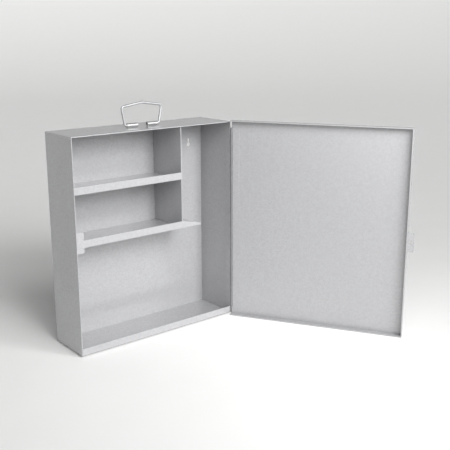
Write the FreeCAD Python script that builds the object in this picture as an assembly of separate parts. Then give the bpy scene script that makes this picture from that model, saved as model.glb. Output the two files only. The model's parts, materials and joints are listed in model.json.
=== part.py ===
# First aid cabinet: a shallow sheet steel cabinet with shelves, a carrying handle
# and a door on a full-length hinge at its right front edge.
# Millimetres. X runs to the right, Y into the wall and Z up.
# The origin lies midway between the two keyholes, on the cabinet's back face.
import FreeCAD, Part
import math
import os

Vector = FreeCAD.Vector

# body
cabinet_width = 355.6
cabinet_height = 406.4
cabinet_depth = 98.4
sheet = 0.9
corner_radius = 0.8
front_hem_depth = 3.5
floor_lip_height = 13.9
cut_overrun = 5.0
same_place = 1e-6

# wall fixing, measured in from the sides and down from the top
keyhole_inset = 32.8
keyhole_drop = 54.9
keyhole_head_diameter = 9.0
keyhole_slot_width = 4.6
keyhole_slot_travel = 10.7

# shelves, and the divider's place to the right of the cabinet's middle
top_compartment_height = 102.0
middle_compartment_height = 96.5
divider_offset = 56.6
shelf_overhang = 44.4
shelf_lip_height = 14.0
shelf_lip_end_height = 4.5
weld_flange = 10.0

# corner clip at the left end of the lower shelf
shelf_clip_leg = 16.4
shelf_clip_rise = 28.4
shelf_clip_drop = 10.0
shelf_clip_corner_radius = 2.5
shelf_clip_clearance = 0.15

# full-length hinge
hinge_pin_diameter = 2.3
hinge_running_clearance = 0.05
hinge_leaf_thickness = 0.9
hinge_leaf_width = 16.0
hinge_knuckle_pitch = 12.7
hinge_knuckle_gap = 0.3
hinge_end_margin = 12.0
hinge_front_gap = 0.1
quarter_turn = 90

# door
door_open_angle = 120.5
door_gap = 0.6
door_flange_depth = 12.7
door_hem_depth = 7.0
door_edge_gap = 0.5

# hasp tab on the door's free edge
hasp_height_above_base = 192.0
hasp_length = 37.0
hasp_reach = 12.7
hasp_thickness = 1.5
hasp_foot_depth = 9.0
hasp_hole_diameter = 6.0
hasp_hole_offset = 6.2
hasp_corner_radius = 2.5

# carrying handle and the two clips that hold its ends
wire_diameter = 4.8
handle_foot_span = 76.6
handle_grip_span = 89.6
handle_corner_rise = 38.4
handle_peak_rise = 45.0
handle_foot_bend = 4.0
handle_corner_bend = 5.0
handle_peak_bend = 12.0
clip_length = 24.0
clip_sheet = 1.2
clip_running_clearance = 0.08
clip_end_clearance = 0.4
clip_seam_gap = 0.3
clip_foot_length = 6.0
clip_slot_clearance = 0.15
wire_end_recess = 7.0

# faces of the body that the other pieces follow
left = -cabinet_width / 2
right = cabinet_width / 2
back = 0
front = -cabinet_depth
top = keyhole_drop
base = top - cabinet_height
back_inside = back - sheet
left_inside = left + sheet
right_inside = right - sheet
top_inside = top - sheet
floor = base + sheet
lip_back = front + front_hem_depth
lip_front = lip_back - sheet

# shelf and divider places
upper_shelf_top = top_inside - top_compartment_height
upper_shelf_under = upper_shelf_top - sheet
lower_shelf_top = upper_shelf_under - middle_compartment_height
lower_shelf_under = lower_shelf_top - sheet
divider_left = divider_offset
divider_right = divider_left + sheet
lower_shelf_end = divider_right + shelf_overhang

# hinge axis: the leaf lies on the right side's inner face, its barrel before the front edge
hinge_bore_radius = hinge_pin_diameter / 2 + hinge_running_clearance
hinge_barrel_radius = hinge_bore_radius + hinge_leaf_thickness
hinge_axis_x = right_inside - hinge_leaf_thickness + hinge_barrel_radius
hinge_axis_y = front - hinge_front_gap - hinge_barrel_radius
hinge_knuckles = int((cabinet_height - 2 * hinge_end_margin) / hinge_knuckle_pitch)
hinge_length = hinge_knuckles * hinge_knuckle_pitch
hinge_foot = base + (cabinet_height - hinge_length) / 2

# door, placed as if closed
door_inside = hinge_axis_y - hinge_barrel_radius
door_outside = door_inside - sheet
door_rim = door_inside + door_flange_depth
door_overlap = door_gap + 2 * sheet
door_free = left - door_overlap
door_hinge_edge = hinge_axis_x - door_edge_gap
door_base = base - door_overlap
door_top = top + door_overlap

# handle pivot line
handle_y = front + cabinet_depth / 2
wire_radius = wire_diameter / 2
clip_bore_radius = wire_radius + clip_running_clearance
clip_outer_radius = clip_bore_radius + clip_sheet
handle_pivot_z = top + clip_outer_radius


def box(x_range, y_range, z_range):
    """A block between pairs of X, Y and Z values."""
    sizes = [span[1] - span[0] for span in (x_range, y_range, z_range)]
    return Part.makeBox(*sizes, Vector(x_range[0], y_range[0], z_range[0]))


def merged(first, *others):
    """One solid from pieces of the same sheet."""
    return first.multiFuse(list(others)).removeSplitter()


def lies_at(edge, place):
    """Whether an edge runs between two points that share the given coordinates."""
    ends = [vertex.Point for vertex in edge.Vertexes]
    offsets = [abs(getattr(point, axis) - value) for point in ends for axis, value in place.items()]
    return len(ends) == 2 and max(offsets) < same_place


def edges_at(solid, place):
    """The straight edges that lie at the given coordinates, such as y=front."""
    return [edge for edge in solid.Edges if lies_at(edge, place)]


def rounded(solid, radius, *places):
    """The solid with the edges at the given places rounded."""
    edges = []
    for place in places:
        edges.extend(edges_at(solid, place))
    return solid.makeFillet(radius, edges)


def turned_open(solid):
    """A door piece, swung from shut to where the door stands open."""
    solid = solid.copy()
    solid.rotate(Vector(hinge_axis_x, hinge_axis_y, 0), Vector(0, 0, 1), door_open_angle)
    return solid


def keyhole(x):
    """A round hole for the screw's head, with a narrow slot above it."""
    through = (back_inside - cut_overrun, back + cut_overrun)
    start = Vector(x, through[0], 0)
    length = through[1] - through[0]
    head = Part.makeCylinder(keyhole_head_diameter / 2, length, start, Vector(0, 1, 0))
    half_slot = keyhole_slot_width / 2
    end = Part.makeCylinder(half_slot, length, start + Vector(0, 0, keyhole_slot_travel), Vector(0, 1, 0))
    slot = box((x - half_slot, x + half_slot), through, (0, keyhole_slot_travel))
    return head.fuse(end).fuse(slot)


def back_panel():
    panel = box((left, right), (back_inside, back), (base, top))
    places = [dict(y=back, x=left), dict(y=back, x=right), dict(y=back, z=base), dict(y=back, z=top)]
    panel = rounded(panel, corner_radius, *places)
    for x in (left + keyhole_inset, right - keyhole_inset):
        panel = panel.cut(keyhole(x))
    return panel


def left_side():
    wall = box((left, left_inside), (front, back_inside), (floor, top_inside))
    hem = box((left_inside, left_inside + sheet), (front, front + front_hem_depth), (floor, top_inside))
    side = merged(wall, hem)
    return rounded(side, corner_radius, dict(y=front, x=left), dict(y=front, x=left_inside + sheet))


def right_side():
    return box((right_inside, right), (front, back_inside), (floor, top_inside))


def clip_slot(x_range):
    """The slot in the top that a handle clip's tails pass through."""
    half_slot = clip_sheet + clip_seam_gap / 2 + clip_slot_clearance
    ends = (x_range[0] - clip_slot_clearance, x_range[1] + clip_slot_clearance)
    levels = (top_inside - cut_overrun, top + cut_overrun)
    return box(ends, (handle_y - half_slot, handle_y + half_slot), levels)


def top_panel():
    panel = box((left, right), (front, back_inside), (top_inside, top))
    hem_ends = (left_inside + sheet, right_inside - hinge_leaf_thickness)
    hem = box(hem_ends, (front, front + front_hem_depth), (top_inside - sheet, top_inside))
    panel = merged(panel, hem)
    places = [dict(x=left, z=top), dict(x=right, z=top), dict(y=front, z=top)]
    places.append(dict(y=front, z=top_inside - sheet))
    panel = rounded(panel, corner_radius, *places)
    for x_range in clip_spans():
        panel = panel.cut(clip_slot(x_range))
    return panel


def bottom_panel():
    panel = box((left, right), (front, back_inside), (base, floor))
    lip_ends = (left_inside + sheet, right_inside - hinge_leaf_thickness)
    lip = box(lip_ends, (front, front + sheet), (floor, base + floor_lip_height))
    panel = merged(panel, lip)
    return rounded(panel, corner_radius, dict(x=left, z=base), dict(x=right, z=base), dict(y=front, z=base))


def shelf_lip(x_ends, low, taper_start, end_height):
    """An upturned front lip whose right end may slope down to a low tip."""
    outline = [
        Vector(x_ends[0], lip_front, low),
        Vector(x_ends[1], lip_front, low),
        Vector(x_ends[1], lip_front, low + end_height),
        Vector(taper_start, lip_front, low + shelf_lip_height),
        Vector(x_ends[0], lip_front, low + shelf_lip_height),
    ]
    if taper_start == x_ends[1]:
        outline.pop(2)
    face = Part.Face(Part.makePolygon(outline + outline[:1]))
    return face.extrude(Vector(0, sheet, 0))


def shelf(right_end, surface, taper_start, end_height):
    """A shelf with its lip beside the left side's hem and a weld flange turned down at the back."""
    under = surface - sheet
    x_ends = (left_inside, right_end)
    plate = box(x_ends, (lip_back, back_inside), (under, surface))
    flange = box(x_ends, (back_inside - sheet, back_inside), (under - weld_flange, under))
    lip = shelf_lip((left_inside + sheet, right_end), under, taper_start, end_height)
    return merged(plate, flange, lip)


def upper_shelf():
    return shelf(divider_left, upper_shelf_top, divider_left, shelf_lip_height)


def clip_legs(clearance, levels):
    """The shelf clip's two legs, each grown by a clearance on its free faces."""
    reach = shelf_clip_leg + clearance
    thickness = sheet + clearance
    front_leg = box((left_inside, left_inside + reach), (lip_back, lip_back + thickness), levels)
    wall_leg = box((left_inside, left_inside + thickness), (lip_back, lip_back + reach), levels)
    return front_leg, wall_leg


def lower_shelf():
    lip_taper_start = divider_right + sheet
    whole = shelf(lower_shelf_end, lower_shelf_top, lip_taper_start, shelf_lip_end_height)
    front_leg, wall_leg = clip_legs(shelf_clip_clearance, (lower_shelf_under, lower_shelf_top))
    return whole.cut(front_leg.fuse(wall_leg))


def shelf_clip():
    """An angle behind the lower shelf's lip, welded to the lip and to the left side."""
    levels = (lower_shelf_under - shelf_clip_drop, lower_shelf_top + shelf_clip_rise)
    leg_end = left_inside + shelf_clip_leg
    front_leg, wall_leg = clip_legs(0, levels)
    corners = [dict(x=leg_end, z=level) for level in levels]
    return merged(rounded(front_leg, shelf_clip_corner_radius, *corners), wall_leg)


def divider():
    """An upright sheet behind the shelves' lips, with weld flanges and a hemmed front edge."""
    depth = (lip_back, back_inside)
    wall = box((divider_left, divider_right), depth, (lower_shelf_top, top_inside))
    flange_x = (divider_right, divider_right + weld_flange)
    head = box(flange_x, depth, (top_inside - sheet, top_inside))
    foot = box(flange_x, depth, (lower_shelf_top, lower_shelf_top + sheet))
    hem_depth = (depth[0], depth[0] + front_hem_depth)
    hem = box((divider_right, divider_right + sheet), hem_depth, (lower_shelf_top, top_inside))
    return merged(wall, head, foot, hem)


def knuckle_levels(first):
    """The lower and upper ends of every second knuckle."""
    levels = []
    for index in range(first, hinge_knuckles, 2):
        low = hinge_foot + index * hinge_knuckle_pitch
        levels.append((low + hinge_knuckle_gap / 2, low + hinge_knuckle_pitch - hinge_knuckle_gap / 2))
    return levels


def hinge_leaf(first):
    """A leaf that runs back from the barrel along +Y, with every second knuckle of the hinge."""
    flat = (hinge_axis_x - hinge_barrel_radius, hinge_axis_x - hinge_barrel_radius + hinge_leaf_thickness)
    strip_start = hinge_axis_y + hinge_barrel_radius + hinge_knuckle_gap
    strip_end = hinge_axis_y + hinge_leaf_width
    leaf = box(flat, (strip_start, strip_end), (hinge_foot, hinge_foot + hinge_length))
    pieces = []
    for low, high in knuckle_levels(first):
        centre = Vector(hinge_axis_x, hinge_axis_y, low)
        barrel = Part.makeCylinder(hinge_barrel_radius, high - low, centre)
        tongue = box(flat, (hinge_axis_y, strip_start), (low, high))
        bore = Part.makeCylinder(hinge_bore_radius, high - low, centre)
        pieces.append(barrel.fuse(tongue).cut(bore))
    return merged(leaf, *pieces)


def hinge_body_leaf():
    return hinge_leaf(0)


def hinge_door_leaf():
    """The same leaf with the other knuckles, turned to lie along the shut door's inner face."""
    leaf = hinge_leaf(1)
    leaf.rotate(Vector(hinge_axis_x, hinge_axis_y, 0), Vector(0, 0, 1), quarter_turn)
    return turned_open(leaf)


def hinge_pin():
    foot = Vector(hinge_axis_x, hinge_axis_y, hinge_foot)
    return Part.makeCylinder(hinge_pin_diameter / 2, hinge_length, foot)


def door_pan():
    """The door: a panel with flanges at its top, foot and free edge, each hemmed at its rim."""
    x_ends = (door_free, door_hinge_edge)
    pan = box(x_ends, (door_outside, door_rim), (door_base, door_top))
    corners = [dict(x=door_free, z=door_base), dict(x=door_free, z=door_top)]
    panel_edges = [dict(x=door_free), dict(z=door_base), dict(z=door_top)]
    panel_edges = [dict(edge, y=door_outside) for edge in panel_edges]
    pan = rounded(pan, corner_radius, *corners, *panel_edges)
    open_side = (door_free + sheet, door_hinge_edge + cut_overrun)
    hollow = box(open_side, (door_inside, door_rim + cut_overrun), (door_base + sheet, door_top - sheet))
    pan = pan.cut(hollow)
    hem_y = (door_rim - door_hem_depth, door_rim)
    foot_hem = box((door_free + sheet, door_hinge_edge), hem_y, (door_base + sheet, door_base + 2 * sheet))
    top_hem = box((door_free + sheet, door_hinge_edge), hem_y, (door_top - 2 * sheet, door_top - sheet))
    free_hem = box((door_free + sheet, door_free + 2 * sheet), hem_y, (door_base + sheet, door_top - sheet))
    return turned_open(merged(pan, foot_hem, top_hem, free_hem))


def hasp_tab():
    """An angle on the free flange, whose outer leg has the hole for a padlock or a seal."""
    centre = base + hasp_height_above_base
    levels = (centre - hasp_length / 2, centre + hasp_length / 2)
    foot = box((door_free - hasp_thickness, door_free), (door_rim - hasp_foot_depth, door_rim), levels)
    tip = door_free - hasp_reach
    leg = box((tip, door_free), (door_rim - hasp_thickness, door_rim), levels)
    leg = rounded(leg, hasp_corner_radius, dict(x=tip, z=levels[0]), dict(x=tip, z=levels[1]))
    hole_start = Vector(door_free - hasp_hole_offset, door_rim - hasp_thickness - cut_overrun, centre)
    hole_length = hasp_thickness + 2 * cut_overrun
    hole = Part.makeCylinder(hasp_hole_diameter / 2, hole_length, hole_start, Vector(0, 1, 0))
    return turned_open(merged(foot, leg).cut(hole))


def bend_tangent(before, corner, after, radius):
    """How far before and after its corner a bend of the given radius starts and ends."""
    turn = (corner - before).getAngle(after - corner)
    return radius * math.tan(turn / 2)


def handle_corners():
    """The corners of the handle's centreline from its left foot bend to its peak."""
    foot = Vector(-handle_foot_span / 2, handle_y, handle_pivot_z)
    shoulder = Vector(-handle_grip_span / 2, handle_y, top + handle_corner_rise)
    peak = Vector(0, handle_y, top + handle_peak_rise)
    return foot, shoulder, peak


def clip_spans():
    """The X ranges of the left and the right clip, which start where the foot bends end."""
    foot, shoulder, peak = handle_corners()
    straight = foot + Vector(clip_length, 0, 0)
    bend_reach = bend_tangent(straight, foot, shoulder, handle_foot_bend)
    outer = handle_foot_span / 2 - bend_reach - clip_end_clearance
    inner = outer - clip_length
    return (-outer, -inner), (inner, outer)


def wire_path(points, radii):
    """Straight runs through the points, with a tangent arc at each inner one."""
    edges = []
    run_start = points[0]
    for before, corner, after, radius in zip(points, points[1:], points[2:], radii):
        reach = bend_tangent(before, corner, after, radius)
        inward = (before - corner).normalize()
        outward = (after - corner).normalize()
        arc_start = corner + inward * reach
        arc_end = corner + outward * reach
        bisector = (inward + outward).normalize()
        to_centre = math.hypot(radius, reach)
        arc_middle = corner + bisector * (to_centre - radius)
        edges.append(Part.LineSegment(run_start, arc_start).toShape())
        edges.append(Part.Arc(arc_start, arc_middle, arc_end).toShape())
        run_start = arc_end
    edges.append(Part.LineSegment(run_start, points[-1]).toShape())
    return Part.Wire(edges)


def handle_bail():
    """One bent wire: feet turned inward, flared sides and a grip with a shallow peak."""
    foot, shoulder, peak = handle_corners()
    wire_end = Vector(clip_spans()[0][1] - wire_end_recess, handle_y, handle_pivot_z)
    left_points = [wire_end, foot, shoulder]
    right_points = [Vector(-point.x, point.y, point.z) for point in reversed(left_points)]
    radii = [handle_foot_bend, handle_corner_bend, handle_peak_bend, handle_corner_bend, handle_foot_bend]
    path = wire_path(left_points + [peak] + right_points, radii)
    profile = Part.Wire(Part.makeCircle(wire_radius, wire_end, Vector(1, 0, 0)))
    return path.makePipeShell([profile], True, False)


def handle_clip(x_range):
    """A strip curled round the wire, its two tails clinched under the top."""
    length = x_range[1] - x_range[0]
    along = Vector(1, 0, 0)
    start = Vector(x_range[0], handle_y, handle_pivot_z)
    curl = Part.makeCylinder(clip_outer_radius, length, start, along)
    half_stem = clip_sheet + clip_seam_gap / 2
    feet_levels = (top_inside - clip_sheet, top_inside)
    stem = box(x_range, (handle_y - half_stem, handle_y + half_stem), (feet_levels[0], handle_pivot_z))
    half_feet = half_stem + clip_foot_length
    feet = box(x_range, (handle_y - half_feet, handle_y + half_feet), feet_levels)
    bore = Part.makeCylinder(clip_bore_radius, length, start, along)
    half_seam = clip_seam_gap / 2
    seam_levels = (feet_levels[0] - cut_overrun, handle_pivot_z)
    seam = box(x_range, (handle_y - half_seam, handle_y + half_seam), seam_levels)
    return merged(curl, stem, feet).cut(bore).cut(seam)


def handle_clip_left():
    return handle_clip(clip_spans()[0])


def handle_clip_right():
    return handle_clip(clip_spans()[1])


pieces = [
    back_panel,
    left_side,
    right_side,
    top_panel,
    bottom_panel,
    upper_shelf,
    lower_shelf,
    shelf_clip,
    divider,
    hinge_body_leaf,
    hinge_door_leaf,
    hinge_pin,
    door_pan,
    hasp_tab,
    handle_bail,
    handle_clip_left,
    handle_clip_right,
]

os.makedirs("parts", exist_ok=True)
for piece in pieces:
    solid = piece()
    solid.exportStep("parts/" + piece.__name__ + ".step")
    print(piece.__name__, len(solid.Solids), "solid, valid", solid.isValid(), "volume", round(solid.Volume))
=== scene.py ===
import json
import math

import bmesh
import bpy
from mathutils import Matrix, Vector

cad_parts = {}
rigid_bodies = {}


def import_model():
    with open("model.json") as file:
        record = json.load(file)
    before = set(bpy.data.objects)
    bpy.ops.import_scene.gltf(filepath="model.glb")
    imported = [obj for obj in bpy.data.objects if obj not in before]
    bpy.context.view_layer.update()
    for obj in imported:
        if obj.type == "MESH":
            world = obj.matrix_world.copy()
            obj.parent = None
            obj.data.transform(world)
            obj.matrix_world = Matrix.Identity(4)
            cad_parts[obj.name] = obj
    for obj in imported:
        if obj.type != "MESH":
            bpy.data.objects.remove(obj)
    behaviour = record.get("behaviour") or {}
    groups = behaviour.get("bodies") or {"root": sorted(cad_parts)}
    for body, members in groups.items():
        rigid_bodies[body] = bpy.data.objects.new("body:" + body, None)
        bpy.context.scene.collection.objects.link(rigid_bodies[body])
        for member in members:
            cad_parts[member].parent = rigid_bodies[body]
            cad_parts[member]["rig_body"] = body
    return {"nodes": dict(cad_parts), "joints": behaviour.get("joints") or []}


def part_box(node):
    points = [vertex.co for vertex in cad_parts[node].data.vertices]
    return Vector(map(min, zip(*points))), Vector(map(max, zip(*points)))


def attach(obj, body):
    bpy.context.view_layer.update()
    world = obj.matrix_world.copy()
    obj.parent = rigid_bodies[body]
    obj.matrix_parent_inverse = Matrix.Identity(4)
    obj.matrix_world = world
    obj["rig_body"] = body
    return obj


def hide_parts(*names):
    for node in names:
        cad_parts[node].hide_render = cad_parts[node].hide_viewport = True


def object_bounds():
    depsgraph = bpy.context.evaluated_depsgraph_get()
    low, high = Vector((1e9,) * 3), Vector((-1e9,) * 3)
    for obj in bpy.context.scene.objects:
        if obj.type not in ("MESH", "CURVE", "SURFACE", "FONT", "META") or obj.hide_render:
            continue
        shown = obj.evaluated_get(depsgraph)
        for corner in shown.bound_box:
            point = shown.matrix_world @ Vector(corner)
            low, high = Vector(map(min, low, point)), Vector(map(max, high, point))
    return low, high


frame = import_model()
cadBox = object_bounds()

# First aid cabinet in silver hammer enamel: dressed sheets, a rolled hinge, a wire handle.
# Sizes in the dictionaries are millimetres unless a name says otherwise.
mm = 0.001
quarterTurn = math.radians(90)
scene = bpy.context.scene
joints = {joint["name"]: joint for joint in frame["joints"]}
nodeLayout = {"columns": 9, "across": 190, "down": 240}    # how new nodes are laid out


# Small helpers


def addNode(tree, kind, inputs=None, **settings):
    # inputs: socket name or number -> value, output socket, node (its first output) or a
    # list of these
    node = tree.nodes.new(kind)
    row, column = divmod(len(tree.nodes), nodeLayout["columns"])
    node.location = (nodeLayout["across"] * column, -nodeLayout["down"] * row)
    for name, value in settings.items():
        setattr(node, name, value)
    for socket, value in (inputs or {}).items():
        sources = value if isinstance(value, list) else [value]
        for source in sources:
            if isinstance(source, bpy.types.Node):
                source = source.outputs[0]
            if isinstance(source, bpy.types.NodeSocket):
                tree.links.new(source, node.inputs[socket])
            else:
                node.inputs[socket].default_value = value
    return node


def hexColour(text):
    # sRGB hex to linear RGBA, by the sRGB standard's own curve
    parts = [int(text[i:i + 2], 16) / 255 for i in (1, 3, 5)]
    linear = [c / 12.92 if c <= 0.04045 else ((c + 0.055) / 1.055) ** 2.4 for c in parts]
    return [*linear, 1.0]


def bakedMesh(piece, name):
    # the evaluated shape as one plain mesh; every modifier is gone afterwards
    bpy.context.view_layer.update()
    evaluated = piece.evaluated_get(bpy.context.evaluated_depsgraph_get())
    mesh = bpy.data.meshes.new_from_object(evaluated)
    mesh.name = name
    bpy.data.objects.remove(piece)
    return mesh


def evenNormals(mesh, name):
    # large flats keep their own normals beside the small rounded edges
    piece = bpy.data.objects.new(name, mesh)
    scene.collection.objects.link(piece)
    weighted = piece.modifiers.new("evenNormals", "WEIGHTED_NORMAL")
    weighted.keep_sharp = True
    return bakedMesh(piece, name)


def addPiece(name, mesh, body, slotName, *nodes):
    # a finished piece at the origin, riding its body in place of the CAD nodes
    piece = bpy.data.objects.new(name, mesh)
    scene.collection.objects.link(piece)
    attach(piece, body)
    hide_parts(*nodes)


# Materials


def newMaterial(name):
    # an empty material, its nodes, and the place on the piece that its patterns follow
    material = bpy.data.materials.new(name)
    material.use_nodes = True
    tree = material.node_tree
    tree.nodes.clear()
    return material, tree, addNode(tree, "ShaderNodeTexCoord").outputs["Object"]


enamel = {
    "light": "#ACACAE",       # between the flakes' edges
    "dark": "#9B9B9D",        # flake edges that turn away
    "cloud": "#A4A4A6",       # slow drift of the spray coat
    "cell": 2.6,              # hammer cells, drawn a little coarse so that they show
    "grain": 5.2,             # uneven spray over the cells
    "grainShare": 0.45,
    "peel": 3.2,              # orange peel
    "cloudSize": 85.0,
    "cloudSpan": (0.3, 0.7),      # noise levels over which the drift sets in
    "cloudShare": 0.35,
    "metallic": 0.15,
    "roughness": (0.40, 0.50),    # light cells, dark cells
    "roughSpan": (0.2, 0.8),
    "bump": 0.35,
    "bumpDepth": 0.05,
    "coat": 1.0,
    "coatRoughness": 0.1,
}


def paintedPinShade(tree, place, colour, pinShadeLook):
    # painted shade: darker near the pin line, standing in for the shade among the turning knuckles
    axis = Vector(joints["door_swing"]["pos_m"])
    offset = addNode(tree, "ShaderNodeVectorMath", {0: place, 1: axis}, operation="SUBTRACT")
    flat = addNode(tree, "ShaderNodeVectorMath", {0: offset, 1: (1, 1, 0)}, operation="MULTIPLY")
    away = addNode(tree, "ShaderNodeVectorMath", {0: flat}, operation="LENGTH").outputs["Value"]
    near = addNode(tree, "ShaderNodeMapRange", {
        "Value": away, "From Min": pinShadeLook["radius"] * mm,
        "From Max": (pinShadeLook["radius"] + pinShadeLook["fade"]) * mm, "To Min": 1.0, "To Max": 0.0})
    return addNode(tree, "ShaderNodeMix", {
        "Factor": near.outputs["Result"], "A": colour, "B": hexColour(pinShadeLook["tone"])},
        data_type="RGBA").outputs["Result"]


def hammerEnamel(name, look, pinShadeLook=None):
    # silver hammer enamel over sheet steel: leafing flake under a clear film, so a soft
    # grey sheen broken up by fine cells, and a faint mirror of what stands on it
    material, tree, place = newMaterial(name)
    cells = addNode(tree, "ShaderNodeTexVoronoi", {
        "Vector": place, "Scale": 1 / (look["cell"] * mm), "Randomness": 1.0}, feature="F1")
    flake = addNode(tree, "ShaderNodeSeparateColor", {"Color": cells.outputs["Color"]})
    grain = addNode(tree, "ShaderNodeTexNoise", {
        "Vector": place, "Scale": 1 / (look["grain"] * mm), "Detail": 3.0, "Roughness": 0.65})
    speckle = addNode(tree, "ShaderNodeMix", {
        "Factor": look["grainShare"], 2: flake.outputs["Red"], 3: grain.outputs["Fac"]},
        data_type="FLOAT")
    cloud = addNode(tree, "ShaderNodeTexNoise", {
        "Vector": place, "Scale": 1 / (look["cloudSize"] * mm), "Detail": 2.0, "Roughness": 0.5})
    base = addNode(tree, "ShaderNodeMix", {
        "Factor": speckle, "A": hexColour(look["dark"]), "B": hexColour(look["light"])},
        data_type="RGBA")
    low, high = look["cloudSpan"]
    drift = addNode(tree, "ShaderNodeMapRange", {
        "Value": cloud.outputs["Fac"], "From Min": low, "From Max": high,
        "To Min": 0.0, "To Max": look["cloudShare"]})
    colour = addNode(tree, "ShaderNodeMix", {
        "Factor": drift, "A": base.outputs["Result"], "B": hexColour(look["cloud"])},
        data_type="RGBA").outputs["Result"]
    # painted shade round the hinge's pin line
    if pinShadeLook:
        colour = paintedPinShade(tree, place, colour, pinShadeLook)
    low, high = look["roughSpan"]
    smoothest, roughest = look["roughness"]
    rough = addNode(tree, "ShaderNodeMapRange", {
        "Value": speckle.outputs["Result"], "From Min": low, "From Max": high,
        "To Min": roughest, "To Max": smoothest})
    peel = addNode(tree, "ShaderNodeTexNoise", {
        "Vector": place, "Scale": 1 / (look["peel"] * mm), "Detail": 2.0, "Roughness": 0.5})
    relief = addNode(tree, "ShaderNodeMath", {
        0: peel.outputs["Fac"], 1: cells.outputs["Distance"]}, operation="MULTIPLY")
    bump = addNode(tree, "ShaderNodeBump", {
        "Height": relief, "Strength": look["bump"], "Distance": look["bumpDepth"] * mm})
    shader = addNode(tree, "ShaderNodeBsdfPrincipled", {
        "Base Color": colour, "Roughness": rough.outputs["Result"],
        "Normal": bump.outputs["Normal"], "Metallic": look["metallic"],
        "Coat Weight": look["coat"], "Coat Roughness": look["coatRoughness"]})
    addNode(tree, "ShaderNodeOutputMaterial", {"Surface": shader})
    return material


zincPlate = {
    "bright": "#C6C7C8",
    "dull": "#B0B1B3",
    "grain": 0.6,             # crystals of the plate, drawn coarse so that they show
    "streak": 9.0,            # length of the drawing lines along the metal
    "blotchShare": 0.4,
    "toneSpan": (0.35, 0.65),     # noise levels from dull to bright
    "roughness": (0.55, 0.72),    # bright parts, dull parts
    "bump": 0.2,
    "bumpDepth": 0.02,
}


def platedSteel(name, look, along):
    # bright zinc plate on drawn or rolled steel: nearly white metal with soft, slightly
    # streaked highlights; along is the axis that the streaks follow
    material, tree, place = newMaterial(name)
    stretch = [1.0, 1.0, 1.0]
    stretch[along] = look["grain"] / look["streak"]
    drawn = addNode(tree, "ShaderNodeMapping", {"Vector": place, "Scale": stretch})
    streaks = addNode(tree, "ShaderNodeTexNoise", {
        "Vector": drawn, "Scale": 1 / (look["grain"] * mm), "Detail": 4.0, "Roughness": 0.6})
    blotch = addNode(tree, "ShaderNodeTexNoise", {
        "Vector": place, "Scale": 1 / (look["streak"] * mm), "Detail": 2.0, "Roughness": 0.5})
    mixed = addNode(tree, "ShaderNodeMix", {
        "Factor": look["blotchShare"], 2: streaks.outputs["Fac"], 3: blotch.outputs["Fac"]},
        data_type="FLOAT")
    low, high = look["toneSpan"]
    tone = addNode(tree, "ShaderNodeMapRange", {
        "Value": mixed.outputs["Result"], "From Min": low, "From Max": high})
    colour = addNode(tree, "ShaderNodeMix", {
        "Factor": tone, "A": hexColour(look["dull"]), "B": hexColour(look["bright"])},
        data_type="RGBA")
    smoothest, roughest = look["roughness"]
    rough = addNode(tree, "ShaderNodeMapRange", {
        "Value": tone, "To Min": roughest, "To Max": smoothest})
    bump = addNode(tree, "ShaderNodeBump", {
        "Height": streaks.outputs["Fac"], "Strength": look["bump"],
        "Distance": look["bumpDepth"] * mm})
    shader = addNode(tree, "ShaderNodeBsdfPrincipled", {
        "Base Color": colour.outputs["Result"], "Roughness": rough.outputs["Result"],
        "Normal": bump.outputs["Normal"], "Metallic": 1.0})
    addNode(tree, "ShaderNodeOutputMaterial", {"Surface": shader})
    return material


pinMetal = dict(zincPlate, bright="#BDBDBB", dull="#8E8F90", streak=5.0, roughness=(0.24, 0.4))
clipPlate = dict(zincPlate, bright="#C8C8C7", dull="#B2B3B4", streak=6.0, roughness=(0.48, 0.62))
# painted shade: the hinge's paint is darkened round the pin line, where the knuckles stand in
# shade
hingePaintedShade = {
    "tone": "#6F6F72",        # painted shade on the knuckles round the pin line
    "radius": 2.2,            # round the pin line, in mm
    "fade": 0.3,
}

silverEnamel = hammerEnamel("silverHammerEnamel", enamel)
# the hinge's enamel, with painted shade round the pin line
hingeEnamel = hammerEnamel("enamelShadedAtKnuckles", enamel, hingePaintedShade)
pinSteel = platedSteel("drawnPinSteel", pinMetal, 2)
brightZinc = platedSteel("brightZincOnWire", zincPlate, 0)
clipZinc = platedSteel("brightZincOnStrip", clipPlate, 0)
print("materials ready")


# Sheet metal: the CAD sheets with rolled bends, rolled hems and eased cut edges

sheetEdges = {
    "bend": 1.25,             # outside radius of a fold
    "insideBend": 0.35,
    "hemRoll": 0.85,          # a rim that is folded flat on itself
    "cut": 0.2,               # a sheared edge under paint
    "cutWidth": 1.3,          # in sheets: a face narrower than this is a cut edge
    "hemWidth": 2.6,          # in sheets: one narrower than this is a hem
    "segments": 4,
    "sharpAngle": 50,         # degrees; gentler edges are already round in the CAD
    "mergeWithin": 0.002,
    "flatWithin": 0.5,        # degrees between the triangles of one flat
}
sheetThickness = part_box("right_side")[1].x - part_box("right_side")[0].x    # metres


def stripWidth(face):
    # for a long strip this is close to its width
    return 2 * face.calc_area() / face.calc_perimeter()


def edgeRadius(edge, sizes):
    # how round a sheet's edge is, from the faces beside it
    narrow = min(stripWidth(face) for face in edge.link_faces)
    if narrow < sizes["cutWidth"] * sheetThickness:
        return sizes["cut"]
    if narrow < sizes["hemWidth"] * sheetThickness:
        return sizes["hemRoll"]
    return sizes["bend"] if edge.is_convex else sizes["insideBend"]


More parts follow.
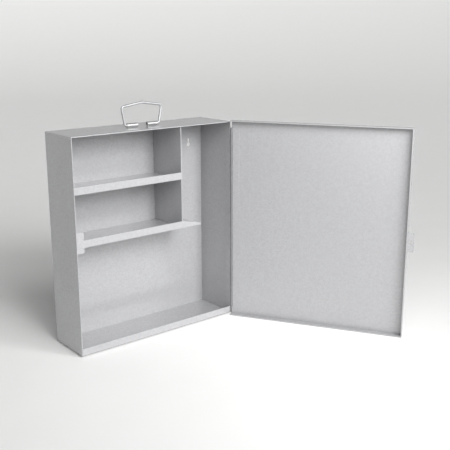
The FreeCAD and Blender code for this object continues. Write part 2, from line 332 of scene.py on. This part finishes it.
def dressSheet(nodeName, pieceName, material, sizes=sheetEdges):
    # the CAD sheet's flats, each edge rounded by its weight, the shading kept even
    mesh = frame["nodes"][nodeName].data.copy()
    form = bmesh.new()
    form.from_mesh(mesh)
    bmesh.ops.remove_doubles(form, verts=form.verts, dist=sizes["mergeWithin"] * mm)
    bmesh.ops.dissolve_limit(form, angle_limit=math.radians(sizes["flatWithin"]),
                             verts=form.verts, edges=form.edges)
    form.normal_update()
    weights = form.edges.layers.float.new("bevel_weight_edge")
    sharp = math.radians(sizes["sharpAngle"])
    rounded = 0
    for edge in form.edges:
        if len(edge.link_faces) == 2 and edge.calc_face_angle() > sharp:
            edge[weights] = edgeRadius(edge, sizes) / sizes["bend"]
            rounded += 1
    for face in form.faces:
        face.smooth = True
    form.to_mesh(mesh)
    form.free()
    mesh.materials.clear()
    mesh.materials.append(material)
    sheet = bpy.data.objects.new(pieceName, mesh)
    scene.collection.objects.link(sheet)
    bevel = sheet.modifiers.new("edges", "BEVEL")
    bevel.limit_method = "WEIGHT"
    bevel.offset_type = "OFFSET"
    bevel.width = sizes["bend"] * mm
    bevel.segments = sizes["segments"]
    finished = evenNormals(bakedMesh(sheet, pieceName), pieceName)
    body = frame["nodes"][nodeName]["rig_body"]
    print("dressed", nodeName, rounded, "edges,", len(finished.polygons), "faces")
    addPiece(pieceName, finished, body, "silver_paint", nodeName)


sheetPieces = {
    "back_panel": "backSheet",
    "left_side": "leftSheet",
    "right_side": "rightSheet",
    "top_panel": "topSheet",
    "bottom_panel": "bottomSheet",
    "upper_shelf": "upperShelf",
    "lower_shelf": "lowerShelf",
    "shelf_clip": "shelfClip",
    "divider": "dividerSheet",
    "door_pan": "doorPan",
    "hasp_tab": "haspTab",
}
for nodeName, pieceName in sheetPieces.items():
    dressSheet(nodeName, pieceName, silverEnamel)


# Geometry trees for what follows a path


def newTree(name, inputs):
    # a geometry tree with named inputs after the incoming geometry
    tree = bpy.data.node_groups.new(name, "GeometryNodeTree")
    tree.interface.new_socket("Geometry", in_out="INPUT", socket_type="NodeSocketGeometry")
    tree.interface.new_socket("Geometry", in_out="OUTPUT", socket_type="NodeSocketGeometry")
    for socketName, (kind, value) in inputs.items():
        socket = tree.interface.new_socket(socketName, in_out="INPUT",
                                           socket_type="NodeSocket" + kind)
        if value is not None:
            socket.default_value = value
    return tree, addNode(tree, "NodeGroupInput").outputs


def finishTree(tree, geometry, given):
    # smooth faces with creases where the metal turns sharply, then the two closing nodes
    smooth = addNode(tree, "GeometryNodeSetShadeSmooth", {"Geometry": geometry})
    turn = addNode(tree, "GeometryNodeInputMeshEdgeAngle")
    crease = addNode(tree, "FunctionNodeCompare", {
        0: turn.outputs["Unsigned Angle"], 1: given["Crease"]}, operation="GREATER_THAN")
    split = addNode(tree, "GeometryNodeSetShadeSmooth", {
        "Geometry": smooth, "Selection": crease, "Shade Smooth": False}, domain="EDGE")
    real = addNode(tree, "GeometryNodeRealizeInstances", {"Geometry": split})
    painted = addNode(tree, "GeometryNodeSetMaterial", {
        "Geometry": real, "Material": given["Material"]})
    addNode(tree, "NodeGroupOutput", {"Geometry": painted})
    return tree


def grow(name, data, tree, values):
    # an object with the tree on it, its inputs set by identifier, baked to a plain mesh
    piece = bpy.data.objects.new(name, data)
    scene.collection.objects.link(piece)
    modifier = piece.modifiers.new(name, "NODES")
    modifier.node_group = tree
    for item in tree.interface.items_tree:
        if item.in_out == "INPUT" and item.name in values:
            modifier[item.identifier] = values[item.name]
    return evenNormals(bakedMesh(piece, name), name)


def pathCurve(name, corners, bendRadii):
    # a poly line whose point radius holds the bend radius at each corner
    curve = bpy.data.curves.new(name, "CURVE")
    curve.dimensions = "3D"
    line = curve.splines.new("POLY")
    line.points.add(len(corners) - 1)
    for point, corner, radius in zip(line.points, corners, bendRadii):
        point.co = (*corner, 1.0)
        point.radius = radius
    return curve


def makeWireTree():
    # bends the path at its corners and sweeps a round wire along it, its ends slightly eased
    tree, given = newTree("roundWire", {
        "Diameter": ("Float", 0.004), "End Ease": ("Float", 0.0005), "End Share": ("Float", 0.8),
        "Bend Steps": ("Int", 12), "Sides": ("Int", 32), "Crease": ("Float", 0.7),
        "Material": ("Material", None)})
    bendRadius = addNode(tree, "GeometryNodeInputRadius")
    bent = addNode(tree, "GeometryNodeFilletCurve", {
        "Curve": given["Geometry"], "Radius": bendRadius, "Count": given["Bend Steps"]},
        mode="POLY")
    along = addNode(tree, "GeometryNodeSplineParameter").outputs["Length"]
    total = addNode(tree, "GeometryNodeSplineLength").outputs["Length"]
    ahead = addNode(tree, "ShaderNodeMath", {0: total, 1: along}, operation="SUBTRACT")
    nearEnd = addNode(tree, "ShaderNodeMath", {0: ahead, 1: along}, operation="MINIMUM")
    scale = addNode(tree, "ShaderNodeMapRange", {
        "Value": nearEnd, "From Min": 0.0, "From Max": given["End Ease"],
        "To Min": given["End Share"], "To Max": 1.0})
    radius = addNode(tree, "ShaderNodeMath", {0: given["Diameter"], 1: 0.5}, operation="MULTIPLY")
    ring = addNode(tree, "GeometryNodeCurvePrimitiveCircle", {
        "Resolution": given["Sides"], "Radius": radius}, mode="RADIUS")
    wire = addNode(tree, "GeometryNodeCurveToMesh", {
        "Curve": bent, "Profile Curve": ring, "Scale": scale, "Fill Caps": True})
    return finishTree(tree, wire, given)


def stripSection(tree, given, width):
    # the strip's section, its corners eased in a few steps
    box = addNode(tree, "GeometryNodeCurvePrimitiveQuadrilateral", {
        "Width": given["Thickness"], "Height": width}, mode="RECTANGLE")
    return addNode(tree, "GeometryNodeFilletCurve", {
        "Curve": box, "Radius": given["Edge Ease"], "Count": given["Ease Steps"]}, mode="POLY")


def makeStripTree():
    # sweeps a flat strip along a line in its own XY plane, the strip's width along Z
    tree, given = newTree("bentStrip", {
        "Thickness": ("Float", 0.001), "Width": ("Float", 0.02), "Edge Ease": ("Float", 0.0001),
        "Ease Steps": ("Int", 3), "Crease": ("Float", 0.7), "Material": ("Material", None)})
    section = stripSection(tree, given, given["Width"])
    strip = addNode(tree, "GeometryNodeCurveToMesh", {
        "Curve": given["Geometry"], "Profile Curve": section, "Fill Caps": True})
    return finishTree(tree, strip, given)


def makeHingeTree():
    # one leaf of a rolled hinge: a strip with every second knuckle curled round the pin
    # line, which stands along Z
    tree, given = newTree("rolledHingeLeaf", {
        "Thickness": ("Float", 0.001), "Bore Radius": ("Float", 0.0012),
        "Leaf Start": ("Float", 0.0024), "Leaf Width": ("Float", 0.016),
        "Leaf Length": ("Float", 0.3), "Pitch": ("Float", 0.0127), "Gap": ("Float", 0.0003),
        "Knuckles": ("Int", 15), "First Knuckle": ("Int", 0), "Curl Angle": ("Float", 5.0),
        "Curl Steps": ("Int", 40), "Tuck": ("Float", 0.001), "Edge Ease": ("Float", 0.0001),
        "Ease Steps": ("Int", 3), "Crease": ("Float", 0.7), "Material": ("Material", None)})
    half = addNode(tree, "ShaderNodeMath", {0: given["Thickness"], 1: 0.5}, operation="MULTIPLY")
    middle = addNode(tree, "ShaderNodeMath", {0: given["Bore Radius"], 1: half}, operation="ADD")
    tongue = addNode(tree, "ShaderNodeMath", {0: given["Leaf Start"], 1: given["Tuck"]},
                     operation="ADD")
    total = addNode(tree, "ShaderNodeMath", {0: middle, 1: given["Curl Angle"], 2: tongue},
                    operation="MULTIPLY_ADD")
    # distance along the strip, then how far it has turned and how much straight is left
    factor = addNode(tree, "GeometryNodeSplineParameter").outputs["Factor"]
    run = addNode(tree, "ShaderNodeMath", {0: factor, 1: total}, operation="MULTIPLY")
    past = addNode(tree, "ShaderNodeMath", {0: run, 1: tongue}, operation="SUBTRACT")
    curled = addNode(tree, "ShaderNodeMath", {0: past, 1: 0.0}, operation="MAXIMUM")
    left = addNode(tree, "ShaderNodeMath", {0: past, 1: 0.0}, operation="MINIMUM")
    angle = addNode(tree, "ShaderNodeMath", {0: curled, 1: middle}, operation="DIVIDE")
    cosine = addNode(tree, "ShaderNodeMath", {0: angle}, operation="COSINE")
    sine = addNode(tree, "ShaderNodeMath", {0: angle}, operation="SINE")
    across = addNode(tree, "ShaderNodeMath", {0: cosine, 1: middle}, operation="MULTIPLY")
    behind = addNode(tree, "ShaderNodeMath", {0: sine, 1: middle, 2: left},
                     operation="MULTIPLY_ADD")
    outward = addNode(tree, "ShaderNodeMath", {0: across, 1: -1.0}, operation="MULTIPLY")
    forward = addNode(tree, "ShaderNodeMath", {0: behind, 1: -1.0}, operation="MULTIPLY")
    spot = addNode(tree, "ShaderNodeCombineXYZ", {"X": outward, "Y": forward})
    line = addNode(tree, "GeometryNodeCurvePrimitiveLine")
    stepped = addNode(tree, "GeometryNodeResampleCurve", {
        "Curve": line, "Count": given["Curl Steps"]}, mode="COUNT")
    curl = addNode(tree, "GeometryNodeSetPosition", {"Geometry": stepped, "Position": spot})
    height = addNode(tree, "ShaderNodeMath", {0: given["Pitch"], 1: given["Gap"]},
                     operation="SUBTRACT")
    section = stripSection(tree, given, height)
    knuckle = addNode(tree, "GeometryNodeCurveToMesh", {
        "Curve": curl, "Profile Curve": section, "Fill Caps": True})
    # every second knuckle along the pin
    shift = addNode(tree, "ShaderNodeMath", {0: given["First Knuckle"], 1: 0.5}, operation="ADD")
    startZ = addNode(tree, "ShaderNodeMath", {0: shift, 1: given["Pitch"]}, operation="MULTIPLY")
    stepZ = addNode(tree, "ShaderNodeMath", {0: given["Pitch"], 1: 2.0}, operation="MULTIPLY")
    start = addNode(tree, "ShaderNodeCombineXYZ", {"Z": startZ})
    step = addNode(tree, "ShaderNodeCombineXYZ", {"Z": stepZ})
    row = addNode(tree, "GeometryNodeMeshLine", {
        "Count": given["Knuckles"], "Start Location": start, "Offset": step}, mode="OFFSET")
    placed = addNode(tree, "GeometryNodeInstanceOnPoints", {"Points": row, "Instance": knuckle})
    knuckles = addNode(tree, "GeometryNodeRealizeInstances", {"Geometry": placed})
    # the flat of the leaf, behind the knuckles
    flatWidth = addNode(tree, "ShaderNodeMath", {0: given["Leaf Width"], 1: given["Leaf Start"]},
                        operation="SUBTRACT")
    flatMiddle = addNode(tree, "ShaderNodeMath", {0: flatWidth, 1: 0.5, 2: given["Leaf Start"]},
                         operation="MULTIPLY_ADD")
    lowEnd = addNode(tree, "ShaderNodeCombineXYZ", {"Z": 0.0})
    highEnd = addNode(tree, "ShaderNodeCombineXYZ", {"Z": given["Leaf Length"]})
    upright = addNode(tree, "GeometryNodeCurvePrimitiveLine", {"Start": lowEnd, "End": highEnd})
    flatSection = stripSection(tree, given, flatWidth)
    flat = addNode(tree, "GeometryNodeCurveToMesh", {
        "Curve": upright, "Profile Curve": flatSection, "Fill Caps": True})
    side = addNode(tree, "ShaderNodeMath", {0: middle, 1: -1.0}, operation="MULTIPLY")
    aside = addNode(tree, "ShaderNodeCombineXYZ", {"X": side, "Y": flatMiddle})
    leaf = addNode(tree, "GeometryNodeTransform", {"Geometry": flat, "Translation": aside})
    whole = addNode(tree, "GeometryNodeMeshBoolean", {1: [leaf, knuckles]},
                    operation="UNION", solver="EXACT")
    return finishTree(tree, whole, given)


wireTree, stripTree, hingeTree = makeWireTree(), makeStripTree(), makeHingeTree()


# Full-length hinge

hinge = {
    "pin": 2.3,               # diameter
    "clearance": 0.05,        # between the pin and the knuckles
    "leaf": 0.9,              # thickness
    "leafWidth": 16.0,        # from the pin line
    "pitch": 12.7,
    "gap": 0.3,               # between knuckles
    "curlEnd": 293.0,         # degrees that the strip turns round the pin
    "tuck": 1.0,              # how far a knuckle's tongue runs into the leaf
    "edgeEase": 0.12,
    "pinEase": 0.4,
}
pinLow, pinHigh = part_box("hinge_pin")
hingeAxis = Vector(joints["door_swing"]["pos_m"])
hingeFoot = Vector((hingeAxis.x, hingeAxis.y, pinLow.z))
hingeLength = pinHigh.z - pinLow.z
openAngle = math.radians(-joints["door_swing"]["range_deg"][0])


def hingeLeaf(name, first, turn, body, nodeName, sizes=hinge):
    # first is the leaf's lowest knuckle, turn its angle round the pin line
    boreRadius = sizes["pin"] / 2 + sizes["clearance"]
    knuckles = round(hingeLength / (sizes["pitch"] * mm)) // 2
    values = {
        "Thickness": sizes["leaf"] * mm, "Bore Radius": boreRadius * mm,
        "Leaf Start": (boreRadius + sizes["leaf"] + sizes["gap"]) * mm,
        "Leaf Width": sizes["leafWidth"] * mm, "Leaf Length": hingeLength,
        "Pitch": sizes["pitch"] * mm, "Gap": sizes["gap"] * mm, "Knuckles": knuckles,
        "First Knuckle": first, "Curl Angle": math.radians(sizes["curlEnd"]),
        "Tuck": sizes["tuck"] * mm, "Edge Ease": sizes["edgeEase"] * mm,
        "Material": hingeEnamel,
    }
    mesh = grow(name, bpy.data.meshes.new(name), hingeTree, values)
    mesh.transform(Matrix.Translation(hingeFoot) @ Matrix.Rotation(turn, 4, "Z"))
    print("hinge leaf", name, knuckles, "knuckles,", len(mesh.polygons), "faces")
    addPiece(name, mesh, body, "hinge_steel", nodeName)


hingeLeaf("hingeLeafOnBody", 0, 0.0, "cabinet", "hinge_body_leaf")
hingeLeaf("hingeLeafOnDoor", 1, quarterTurn + openAngle, "door", "hinge_door_leaf")


def wirePiece(name, corners, bendRadii, diameter, ease, material, body, slotName, nodeName):
    # two more points near the ends let the tree ease them
    first = (corners[1] - corners[0]).normalized() * ease
    last = (corners[-2] - corners[-1]).normalized() * ease
    points = [corners[0], corners[0] + first, *corners[1:-1], corners[-1] + last, corners[-1]]
    curve = pathCurve(name, points, [0.0, 0.0, *bendRadii, 0.0, 0.0])
    mesh = grow(name, curve, wireTree, {
        "Diameter": diameter, "End Ease": ease, "Material": material})
    print("wire", name, len(mesh.polygons), "faces")
    addPiece(name, mesh, body, slotName, nodeName)


def hingePin():
    foot = hingeFoot.copy()
    head = hingeFoot + Vector((0, 0, hingeLength))
    wirePiece("hingePin", [foot, (foot + head) / 2, head], [0.0], hinge["pin"] * mm,
              hinge["pinEase"] * mm, pinSteel, "cabinet", "hinge_pin_steel", "hinge_pin")


hingePin()


# Carrying handle and its two clips

handle = {
    "wire": 4.8,              # diameter
    "footSpan": 76.6,         # between the wire's lower corners
    "gripSpan": 89.6,         # between its upper corners
    "cornerRise": 38.4,       # of the upper corners above the cabinet's top
    "peakRise": 45.0,
    "footBend": 4.0,
    "cornerBend": 5.0,
    "peakBend": 12.0,
    "endRecess": 7.0,         # of the wire's ends inside the clips
    "endEase": 0.5,
}
clip = {
    "sheet": 1.2,             # thickness
    "clearance": 0.08,        # round the wire
    "seam": 0.3,              # between the two tails
    "foot": 6.0,              # length of a tail under the top
    "footBend": 0.9,
    "neckBend": 1.0,          # where the tails open out round the wire
    "edgeEase": 0.2,
    "arcSteps": 10,
    "curlSteps": 40,
}
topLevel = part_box("top_panel")[1].z
handlePivot = Vector(joints["handle_swing"]["pos_m"])


def handleWire(sizes=handle):
    # one wire, from the left clip up over a shallow peak and down to the right clip
    foot = Vector((sizes["footSpan"] / 2 * mm, handlePivot.y, handlePivot.z))
    shoulder = Vector((sizes["gripSpan"] / 2 * mm, handlePivot.y,
                       topLevel + sizes["cornerRise"] * mm))
    peak = Vector((0, handlePivot.y, topLevel + sizes["peakRise"] * mm))
    end = Vector((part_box("handle_clip_right")[0].x + sizes["endRecess"] * mm, foot.y, foot.z))
    right = [end, foot, shoulder]
    left = [Vector((-point.x, point.y, point.z)) for point in right]
    bends = [sizes["footBend"], sizes["cornerBend"]]
    bendRadii = [radius * mm for radius in [*bends, sizes["peakBend"], *reversed(bends)]]
    wirePiece("handleWire", [*left, peak, *reversed(right)], bendRadii, sizes["wire"] * mm,
              sizes["endEase"] * mm, brightZinc, "handle", "handle_wire_plate", "handle_bail")


def arcPoints(centre, radius, start, end, steps):
    angles = [start + (end - start) * i / steps for i in range(steps + 1)]
    return [Vector((centre[0] + radius * math.cos(angle), centre[1] + radius * math.sin(angle), 0))
            for angle in angles]


def clipOutline(sizes):
    # the strip's middle line from one foot, up round the wire and down to the other, in mm
    # round the wire's centre
    half = sizes["sheet"] / 2
    stem = sizes["seam"] / 2 + half
    curl = handle["wire"] / 2 + sizes["clearance"] + half
    under = (topLevel - handlePivot.z) / mm - sheetThickness / mm - half
    neck, bend = sizes["neckBend"], sizes["footBend"]
    neckDrop = math.sqrt((curl + neck) ** 2 - (stem + neck) ** 2)
    lean = math.atan2(neckDrop, stem + neck)
    leftSide = [Vector((-stem - half - sizes["foot"], under, 0))]
    leftSide += arcPoints((-stem - bend, under + bend), bend, -quarterTurn, 0.0, sizes["arcSteps"])
    leftSide += arcPoints((-stem - neck, -neckDrop), neck, 0.0, lean, sizes["arcSteps"])
    over = arcPoints((0, 0), curl, math.pi + lean, -lean, sizes["curlSteps"])
    rightSide = [Vector((-point.x, point.y, 0)) for point in reversed(leftSide)]
    return leftSide + over[1:-1] + rightSide


def handleClip(name, nodeName):
    low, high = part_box(nodeName)
    line = [point * mm for point in clipOutline(clip)]
    curve = pathCurve(name, line, [0.0] * len(line))
    mesh = grow(name, curve, stripTree, {
        "Thickness": clip["sheet"] * mm, "Width": high.x - low.x,
        "Edge Ease": clip["edgeEase"] * mm, "Material": clipZinc})
    # the strip is bent in the XY plane: its X becomes the cabinet's depth, its Y the height
    turned = Matrix(((0, 0, 1, (low.x + high.x) / 2), (1, 0, 0, handlePivot.y),
                     (0, 1, 0, handlePivot.z), (0, 0, 0, 1)))
    mesh.transform(turned)
    print("clip", name, len(mesh.polygons), "faces")
    addPiece(name, mesh, "cabinet", "clip_plate", nodeName)


handleWire()
handleClip("handleClipLeft", "handle_clip_left")
handleClip("handleClipRight", "handle_clip_right")


# Floor, light and camera

studio = {
    "flatRadius": 5.0,        # metres; beyond it the floor sweeps up to its rim
    "rimRadius": 12.0,        # metres
    "rimHeight": 1.15,        # metres
    "floorSides": 96,
    "sweepSteps": 24,
    "floorGap": 0.3,          # below the cabinet
    "floorTone": ("#F1F1F0", "#EEEEED"),
    "mottle": 83.3,
    "backdrop": "#CBCBCB",    # a pale wall all round, above the floor's rim
    "room": "#000000",        # overhead
    "backdropHeight": (0.10, 0.45),    # sine of the elevation over which the wall ends
    "worldStrength": 1.0,
}
camera = {
    "place": (-790.7, -1259.8, 236.0),
    "azimuth": -39.394,       # degrees, as is the elevation
    "elevation": 14.663,
    "roll": 0.0885,           # degrees, clockwise as the camera sees it
    "lens": 60.382,
    "sensor": 36.0,
    "farEnd": 200.0,          # metres
}
# suns stand for distant soft panels: where their light comes from and its softness, in
# degrees, and its strength; softboxes stand near: place, aim and side in mm, power in watts
suns = {
    "front": dict(azimuth=0, elevation=22, soft=30, strength=2.02),
    "frontHigh": dict(azimuth=-15, elevation=42, soft=36, strength=1.11),
    "left": dict(azimuth=-60, elevation=22, soft=30, strength=0.53),
    "right": dict(azimuth=35, elevation=25, soft=20, strength=0.49),
    "side": dict(azimuth=95, elevation=18, soft=30, strength=0.3),
    "behind": dict(azimuth=180, elevation=15, soft=40, strength=0.45),
}
softboxes = {
    "near": dict(place=(150, -750, 300), aim=(200, -200, -150), side=300, power=3.6),
}


def paleFloor(look):
    # matt painted studio floor, off-white with a faint mottle
    material, tree, place = newMaterial("mattWhiteFloor")
    mottle = addNode(tree, "ShaderNodeTexNoise", {
        "Vector": place, "Scale": 1 / (look["mottle"] * mm), "Detail": 3.0})
    bright, dim = look["floorTone"]
    colour = addNode(tree, "ShaderNodeMix", {
        "Factor": mottle.outputs["Fac"], "A": hexColour(bright), "B": hexColour(dim)},
        data_type="RGBA")
    shader = addNode(tree, "ShaderNodeBsdfPrincipled", {
        "Base Color": colour.outputs["Result"], "Roughness": 0.8, "Specular IOR Level": 0.2})
    addNode(tree, "ShaderNodeOutputMaterial", {"Surface": shader})
    return material


def layFloor(look):
    # a flat round floor whose far edge sweeps up, so that the horizon is high and soft
    flat, rim, height = look["flatRadius"], look["rimRadius"], look["rimHeight"]
    sides, steps = look["floorSides"], look["sweepSteps"]
    shares = [i / steps for i in range(steps + 1)]
    profile = [(flat + (rim - flat) * share, height * share ** 2) for share in shares]
    angles = [math.tau * i / sides for i in range(sides)]
    level = cadBox[0].z - look["floorGap"] * mm
    form = bmesh.new()
    centre = form.verts.new((0, 0, level))
    rings = []
    for radius, rise in profile:
        rings.append([form.verts.new((radius * math.cos(angle), radius * math.sin(angle),
                                      level + rise)) for angle in angles])
    for i in range(sides):
        form.faces.new((centre, rings[0][i], rings[0][(i + 1) % sides]))
    for inner, outer in zip(rings, rings[1:]):
        for i in range(sides):
            after = (i + 1) % sides
            form.faces.new((inner[i], outer[i], outer[after], inner[after]))
    for face in form.faces:
        face.smooth = True
    mesh = bpy.data.meshes.new("floor")
    form.to_mesh(mesh)
    form.free()
    mesh.materials.append(paleFloor(look))
    floor = bpy.data.objects.new("floor", mesh)
    scene.collection.objects.link(floor)


def backVector(azimuth, elevation):
    # from the object towards a viewer or a light; azimuth 0 stands in front, along -Y
    turn, lift = math.radians(azimuth), math.radians(elevation)
    return Vector((math.sin(turn) * math.cos(lift), -math.cos(turn) * math.cos(lift),
                   math.sin(lift)))


def lightWorld(look):
    # a pale wall round the floor, fading to a dark room overhead
    world = bpy.data.worlds.new("paleStudio")
    world.use_nodes = True
    scene.world = world
    tree = world.node_tree
    tree.nodes.clear()
    way = addNode(tree, "ShaderNodeTexCoord").outputs["Generated"]
    parts = addNode(tree, "ShaderNodeSeparateXYZ", {"Vector": way})
    low, high = look["backdropHeight"]
    height = addNode(tree, "ShaderNodeMapRange", {
        "Value": parts.outputs["Z"], "From Min": low, "From Max": high})
    colour = addNode(tree, "ShaderNodeMix", {
        "Factor": height, "A": hexColour(look["backdrop"]), "B": hexColour(look["room"])},
        data_type="RGBA")
    glow = addNode(tree, "ShaderNodeBackground", {
        "Color": colour.outputs["Result"], "Strength": look["worldStrength"]})
    addNode(tree, "ShaderNodeOutputWorld", {"Surface": glow})


def hangLight(name, lamp, way):
    # way points from what is lit towards the light
    light = bpy.data.objects.new(name, lamp)
    light.rotation_euler = way.to_track_quat("Z", "Y").to_euler()
    scene.collection.objects.link(light)
    return light


def hangLights():
    for name, look in suns.items():
        lamp = bpy.data.lights.new(name, "SUN")
        lamp.energy = look["strength"]
        lamp.angle = math.radians(look["soft"])
        hangLight(name, lamp, backVector(look["azimuth"], look["elevation"]))
    for name, look in softboxes.items():
        lamp = bpy.data.lights.new(name, "AREA")
        lamp.energy = look["power"]
        lamp.size = look["side"] * mm
        light = hangLight(name, lamp, Vector(look["place"]) - Vector(look["aim"]))
        light.visible_camera = False
        light.location = Vector(look["place"]) * mm


def placeCamera(look):
    data = bpy.data.cameras.new("photoView")
    data.lens = look["lens"]
    data.sensor_width = look["sensor"]
    data.clip_end = look["farEnd"]
    viewer = bpy.data.objects.new("photoView", data)
    level = backVector(look["azimuth"], look["elevation"]).to_track_quat("Z", "Y").to_matrix()
    rolled = level @ Matrix.Rotation(math.radians(-look["roll"]), 3, "Z")
    viewer.matrix_world = Matrix.Translation(Vector(look["place"]) * mm) @ rolled.to_4x4()
    scene.collection.objects.link(viewer)
    scene.camera = viewer


layFloor(studio)
lightWorld(studio)
hangLights()
placeCamera(camera)
scene.view_settings.view_transform = "Standard"
print("floor, lights and camera in place")
